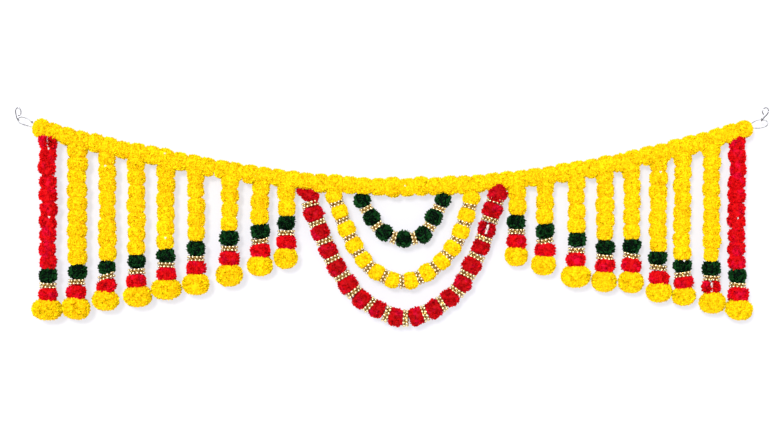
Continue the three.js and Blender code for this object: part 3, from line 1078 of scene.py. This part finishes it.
class GARLAND_OT_stage(Operator):
    """Make the pale wall and floor, the soft lights and the sky"""

    bl_idname = "garland.stage"
    bl_label = "Stage"

    def execute(self, context):
        wall_edges = ((WALL_GAP, FLOOR_LEVEL), (WALL_GAP, STAGE_REACH))
        floor_edges = ((-STAGE_REACH, FLOOR_LEVEL), (STAGE_REACH, FLOOR_LEVEL))
        wall = self.slab(context, "wall", wall_finish, *wall_edges)
        floor = self.slab(context, "floor", floor_finish, *floor_edges)
        for sun in SUNS:
            self.sun(context, *sun)
        world = bpy.data.worlds.new("sky")
        world.use_nodes = True
        sky = world.node_tree.nodes["Background"]
        set_node(world.node_tree, sky, Color=(*SKY, 1), Strength=SKY_STRENGTH)
        context.scene.world = world
        context.scene.view_settings.view_transform = "Standard"
        return {"FINISHED"}

    @staticmethod
    def slab(context, name, finish, near, far):
        """A painted slab between two edges along the garland, each given as (y, z)."""
        left, right = HOOK_SPAN / 2 - STAGE_REACH, HOOK_SPAN / 2 + STAGE_REACH
        corners = ((left, *near), (right, *near), (right, *far), (left, *far))
        mesh = bpy.data.meshes.new(name)
        mesh.from_pydata(corners, [], [(0, 1, 2, 3)])
        mesh.materials.append(material(f"{name}_paint", finish))
        slab = bpy.data.objects.new(name, mesh)
        context.scene.collection.objects.link(slab)
        return slab

    @staticmethod
    def sun(context, name, way, strength, width):
        light = bpy.data.lights.new(name, "SUN")
        light.energy = strength
        light.angle = np.radians(width)
        lamp = bpy.data.objects.new(name, light)
        lamp.rotation_mode = "QUATERNION"
        lamp.rotation_quaternion = Vector(way).to_track_quat("-Z", "Y")
        context.scene.collection.objects.link(lamp)


class GARLAND_OT_main_cord(Operator):
    """Finish the cord that the rope's flowers sit on"""

    bl_idname = "garland.main_cord"
    bl_label = "Main Cord"

    def execute(self, context):
        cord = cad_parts["main_cord"].material_slots[0]
        cord.material = material("thread_yarn", yarn_finish, "thread")
        return {"FINISHED"}


class GARLAND_OT_rope_flowers(Operator):
    """Dress the three runs of rope flowers"""

    bl_idname = "garland.rope_flowers"
    bl_label = "Rope Flowers"

    def execute(self, context):
        route = rope_route()
        total = RUN_FLOWERS * len(ROPE_RUNS)
        pitch = route.length / total
        middles = (np.arange(total) + 0.5) * pitch
        span = pitch + 2 * sizes().nestle
        flowers = flowers_along(route, middles, ROPE_RADIUS, span, "yellow", SNUG)
        for run, name in enumerate(ROPE_RUNS):
            first = run * RUN_FLOWERS
            add_flowers(f"{name}_petals", flowers[first:first + RUN_FLOWERS], name)
        return {"FINISHED"}


class GARLAND_OT_strand_flowers(Operator):
    """Dress the rows of flowers on the hanging strands"""

    bl_idname = "garland.strand_flowers"
    bl_label = "Strand Flowers"

    def execute(self, context):
        for name in STRANDS:
            node = f"{name}_flowers"
            low, _, middle = middle_of(node)
            top = rope_height(middle[0]) - STRAND_ROOT
            cloth, pitch = ("red", RED_PITCH) if name in RED_STRANDS else ("yellow", YELLOW_PITCH)
            route = Route(((middle[0], top), (middle[0], low[2])))
            count = round(route.length / pitch)
            pitch = route.length / count
            end = ROUND if cloth == "red" else SNUG
            flowers = flowers_along(
                route, (np.arange(count) + 0.5) * pitch, STRAND_RADIUS * WIDE_STRANDS.get(name, 1),
                pitch + 2 * sizes().nestle, cloth, end, outer=(end, ROUND),
            )
            add_flowers(f"{name}_petals", flowers, node)
        return {"FINISHED"}


def tassel_line(name):
    """A tassel's top and foot on its thread, its length and its head's radius, from the frame."""
    _, _, strand = middle_of(f"{name}_flowers")
    low, high, middle = middle_of(f"{name}_tassel")
    top = np.array((strand[0], 0, high[2]))
    span = high[2] - low[2]
    widest = 1 - TASSEL_SHARES["head"] * (1 - HEAD_WIDEST)
    foot = np.array((strand[0] + (middle[0] - strand[0]) / widest, 0, low[2]))
    return top, foot, span, (high[0] - low[0]) / 2


def tassel_parts(top, foot, span):
    """The middle and the length of each part of a tassel."""
    at, middles, spans = 0.0, {}, {}
    for part, share in TASSEL_SHARES.items():
        middles[part] = top + (foot - top) * (at + share / 2)
        spans[part] = span * share
        at += share
    return middles, spans


def tipped(heading, degrees):
    """A heading turned in the garland's plane, so that what it carries has its right side up."""
    turn = np.radians(degrees)
    return heading * np.cos(turn) + np.cross(FRONT, heading) * np.sin(turn)


class GARLAND_OT_tassels(Operator):
    """Dress the green flower, bead ring, red flower and head at the foot of each strand"""

    bl_idname = "garland.tassels"
    bl_label = "Tassels"

    def execute(self, context):
        for name in STRANDS:
            node = f"{name}_tassel"
            top, foot, span, head_radius = tassel_line(name)
            heading = unit(foot - top)
            middles, spans = tassel_parts(top, foot, span)
            tilt, overlap, nestle = RING_TILTS.get(name, 0), sizes().overlap, sizes().nestle
            leaning = tipped(heading, tilt / 2)
            green = flower(
                middles["green"] + heading * (overlap - nestle) / 2, leaning, TASSEL_RADIUS,
                spans["green"] + overlap + nestle, "green", (ROUND, ROUND),
            )
            red = flower(
                middles["red"] + heading * (RED_DROOP - overlap) / 2 + FRONT * RED_LEAN, leaning,
                TASSEL_RADIUS * RED_SWELL, spans["red"] + overlap + RED_DROOP, "red",
                (ROUND, ROUND),
            )
            head = flower(
                middles["head"] - heading * nestle / 2, heading, head_radius * HEAD_SWELL,
                spans["head"] + nestle, "yellow", (CLOSED, CLOSED),
            )
            head.roundness = HEAD_ROUNDNESS
            add_flowers(f"{name}_green_flower", [green], node)
            add_flowers(f"{name}_red_flower", [red], node)
            add_flowers(f"{name}_head", [head], node)
            ring = (middles["ring"], tipped(heading, tilt), RING_RADIUS)
            add_rings(f"{name}_beads", [ring], node)
        return {"FINISHED"}


class GARLAND_OT_strand_threads(Operator):
    """Run a white thread through each strand from the rope to the head"""

    bl_idname = "garland.strand_threads"
    bl_label = "Strand Threads"

    def execute(self, context):
        for name in STRANDS:
            top, foot, _, _ = tassel_line(name)
            start = np.array((top[0], 0, rope_height(top[0]) - TIED_BELOW))
            end = top + (foot - top) * INTO_HEAD
            down = np.linspace(start, top, STRAND_STEPS[0], endpoint=False)
            points = np.concatenate((down, np.linspace(top, end, STRAND_STEPS[1])))
            add_thread(f"{name}_thread", points, f"{name}_flowers", f"{name}_tassel")
        return {"FINISHED"}


class GARLAND_OT_swags(Operator):
    """Dress the three swags: flowers, bead rings and thread"""

    bl_idname = "garland.swags"
    bl_label = "Swags"

    def execute(self, context):
        for name, swag in SWAGS.items():
            route = Route(smooth_line(swag.route, 0))
            pitch = route.length / (swag.flowers - swag.ring_share)
            span = pitch * (1 - swag.ring_share)
            flowers = flowers_along(
                route, np.arange(swag.flowers) * pitch + span / 2, swag.radius,
                span + 2 * sizes().overlap, swag.cloth, swag.end,
            )
            if name == "outer_swag":
                self.tuck(flowers)
            between = np.arange(1, swag.flowers) * pitch - pitch * swag.ring_share / 2
            rings = [(route.place(at), route.heading(at), swag.ring_radius) for at in between]
            add_flowers(f"{name}_petals", flowers, name)
            add_rings(f"{name}_beads", rings, name)
            walk = np.linspace(0, route.length, int(route.length / THREAD_STEP))
            add_thread(f"{name}_thread", [route.place(at) for at in walk], name)
        return {"FINISHED"}

    @staticmethod
    def tuck(flowers):
        """Turns the outer swag's end flowers as they lie against the rope."""
        for n, (place, heading, radius, span) in OUTER_SWAG_ENDS.items():
            one = flowers[n]
            one.place, one.heading = np.array(place), unit(np.array(heading))
            one.radius, one.span, one.roundness = radius, span, TUCKED_ROUNDNESS


def add_bent(routes, title, radius, steps, sides, look, slot):
    """Adds the round bars at the rope's two ends, each bent along its route."""
    for (name, points), x in zip(routes.items(), (0, HOOK_SPAN), strict=True):
        line = smooth_line(points, 0.5, steps) + (x, 0, 0)
        mesh = bar_mesh(name, [tube(line, radius, sides)])
        add_piece(f"{name}_{title}", mesh, look, slot, name)


class GARLAND_OT_hooks(Operator):
    """Bend the two wire S-hooks"""

    bl_idname = "garland.hooks"
    bl_label = "S-Hooks"

    def execute(self, context):
        steel = material("hook_steel", steel_finish)
        add_bent(HOOKS, "wire", HOOK_WIRE, steps=8, sides=14, look=steel, slot="hook_wire")
        return {"FINISHED"}


class GARLAND_OT_end_loops(Operator):
    """Make the two clear loops that the hooks hold"""

    bl_idname = "garland.end_loops"
    bl_label = "End Loops"

    def execute(self, context):
        clear = material("clear_line", clear_finish)
        add_bent(LOOPS, "line", LOOP_LINE, steps=6, sides=12, look=clear, slot="clear_loop")
        return {"FINISHED"}


class GARLAND_OT_knots(Operator):
    """Tie the small white knots between the petals and the brown tie at the left end"""

    bl_idname = "garland.knots"
    bl_label = "Knots"

    def execute(self, context):
        add_yarn("white_knots", [knot((x, KNOT_FRONT, z)) for x, z in KNOTS], "thread")
        add_yarn("left_end_tie", [knot(TIE_PLACE)], "tie")
        return {"FINISHED"}


class GARLAND_PT_panel(Panel):
    """Lists the garland's operators, sizes and colours"""

    bl_idname = "GARLAND_PT_panel"
    bl_label = "Marigold Garland"
    bl_space_type = "VIEW_3D"
    bl_region_type = "UI"
    bl_category = "Garland"

    def draw(self, context):
        for operator in OPERATORS:
            self.layout.operator(operator.bl_idname)
        for group in (context.scene.garland_sizes, context.scene.garland_colours):
            column = self.layout.column()
            for name in group.bl_rna.properties.keys()[2:]:  # the first two are Blender's own
                column.prop(group, name)


OPERATORS = (
    GARLAND_OT_camera,
    GARLAND_OT_main_cord,
    GARLAND_OT_end_loops,
    GARLAND_OT_hooks,
    GARLAND_OT_rope_flowers,
    GARLAND_OT_strand_flowers,
    GARLAND_OT_tassels,
    GARLAND_OT_strand_threads,
    GARLAND_OT_swags,
    GARLAND_OT_knots,
    GARLAND_OT_stage,
)
CLASSES = (GarlandSizes, GarlandColours, *OPERATORS, GARLAND_PT_panel)


def register():
    for item in CLASSES:
        bpy.utils.register_class(item)
    bpy.types.Scene.garland_sizes = PointerProperty(type=GarlandSizes)
    bpy.types.Scene.garland_colours = PointerProperty(type=GarlandColours)


def unregister():
    del bpy.types.Scene.garland_colours
    del bpy.types.Scene.garland_sizes
    for item in reversed(CLASSES):
        bpy.utils.unregister_class(item)


def main():
    register()
    for operator in OPERATORS:
        family, name = operator.bl_idname.split(".")
        getattr(getattr(bpy.ops, family), name)()


if __name__ == "__main__":
    main()
